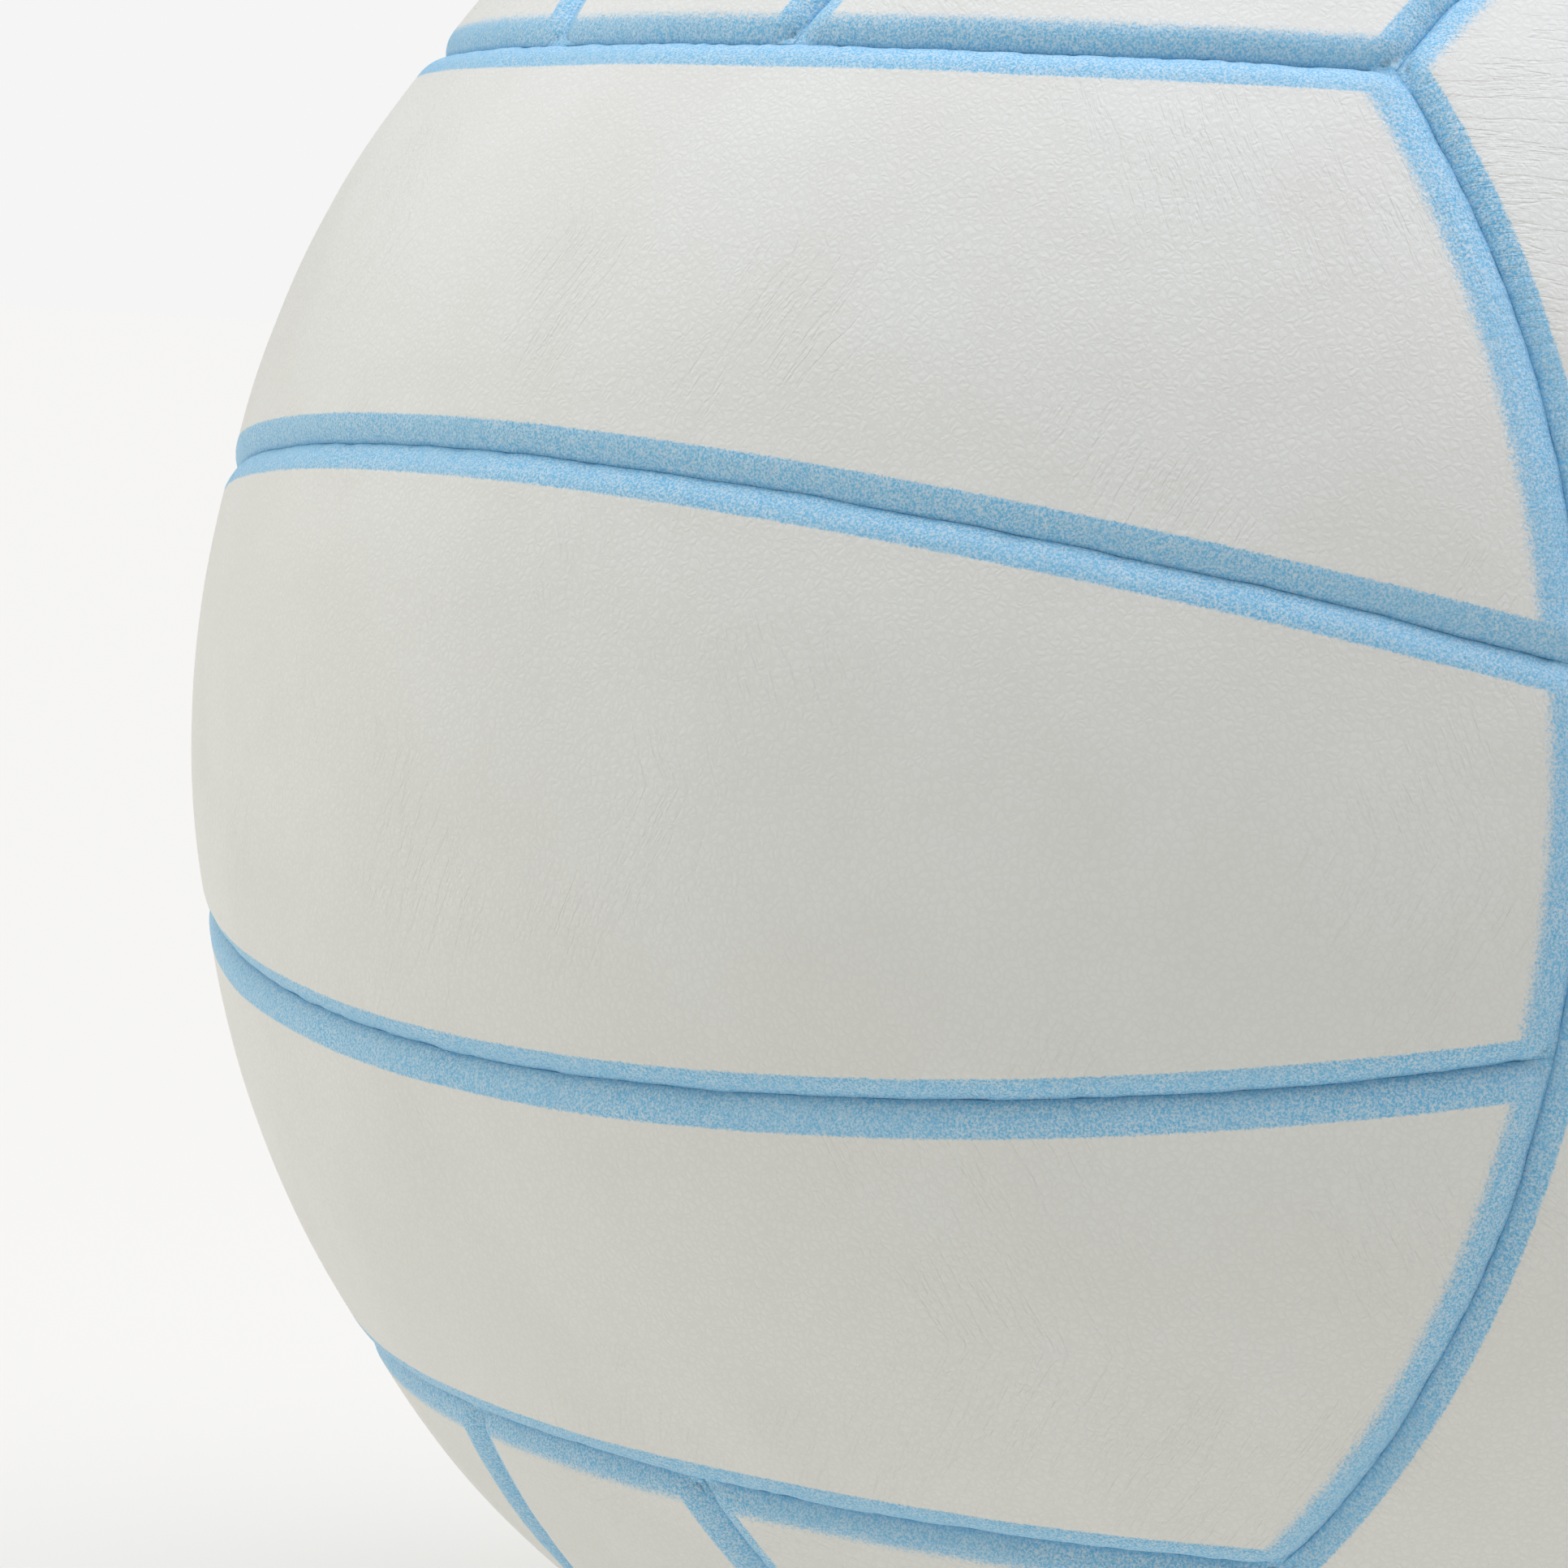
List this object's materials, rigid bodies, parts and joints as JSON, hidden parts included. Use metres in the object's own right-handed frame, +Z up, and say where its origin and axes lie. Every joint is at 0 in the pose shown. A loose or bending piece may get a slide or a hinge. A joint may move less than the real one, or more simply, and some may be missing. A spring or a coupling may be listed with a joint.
{
  "type": "volleyball",
  "caption": "Round inflatable volleyball with a stitched cover of strip panels in faces set at right angles, foam-backed, with an inner bladder and a needle valve.",
  "frame": {"origin": "centre of the ball", "axes": "+Y out through the valve, +Z up; the seams lie symmetrically about all three planes"},
  "size_m": [0.21, 0.2099, 0.21],
  "materials": {
    "cover": "soft off-white synthetic leather with a fine pebble grain; speckled light blue paint along the seams",
    "foam": "closed-cell foam, matt",
    "cloth": "plain woven cotton and polyester",
    "seam_thread": "bonded polyester thread",
    "bladder": "black butyl rubber, slightly powdery",
    "bladder_patch": "black vulcanised rubber",
    "valve_housing": "moulded off-white rubber",
    "valve_core": "moulded light grey rubber"
  },
  "bodies": {
    "root": {"cover_front_upper": "cover", "cover_front_middle": "cover", "cover_front_lower": "cover", "cover_back_upper": "cover", "cover_back_middle": "cover", "cover_back_lower": "cover", "cover_bottom_right": "cover", "cover_bottom_middle": "cover", "cover_bottom_left": "cover", "cover_top_right": "cover", "cover_top_middle": "cover", "cover_top_left": "cover", "cover_left_back": "cover", "cover_left_middle": "cover", "cover_left_front": "cover", "cover_right_back": "cover", "cover_right_middle": "cover", "cover_right_front": "cover", "foam_front_upper": "foam", "foam_front_middle": "foam", "foam_front_lower": "foam", "foam_back_upper": "foam", "foam_back_middle": "foam", "foam_back_lower": "foam", "foam_bottom_right": "foam", "foam_bottom_middle": "foam", "foam_bottom_left": "foam", "foam_top_right": "foam", "foam_top_middle": "foam", "foam_top_left": "foam", "foam_left_back": "foam", "foam_left_middle": "foam", "foam_left_front": "foam", "foam_right_back": "foam", "foam_right_middle": "foam", "foam_right_front": "foam", "cloth_front_upper": "cloth", "cloth_front_middle": "cloth", "cloth_front_lower": "cloth", "cloth_back_upper": "cloth", "cloth_back_middle": "cloth", "cloth_back_lower": "cloth", "cloth_bottom_right": "cloth", "cloth_bottom_middle": "cloth", "cloth_bottom_left": "cloth", "cloth_top_right": "cloth", "cloth_top_middle": "cloth", "cloth_top_left": "cloth", "cloth_left_back": "cloth", "cloth_left_middle": "cloth", "cloth_left_front": "cloth", "cloth_right_back": "cloth", "cloth_right_middle": "cloth", "cloth_right_front": "cloth", "seam_thread": "seam_thread", "bladder": "bladder", "bladder_patch": "bladder_patch", "valve_housing": "valve_housing", "valve_core": "valve_core"}
  },
  "joints": []
}
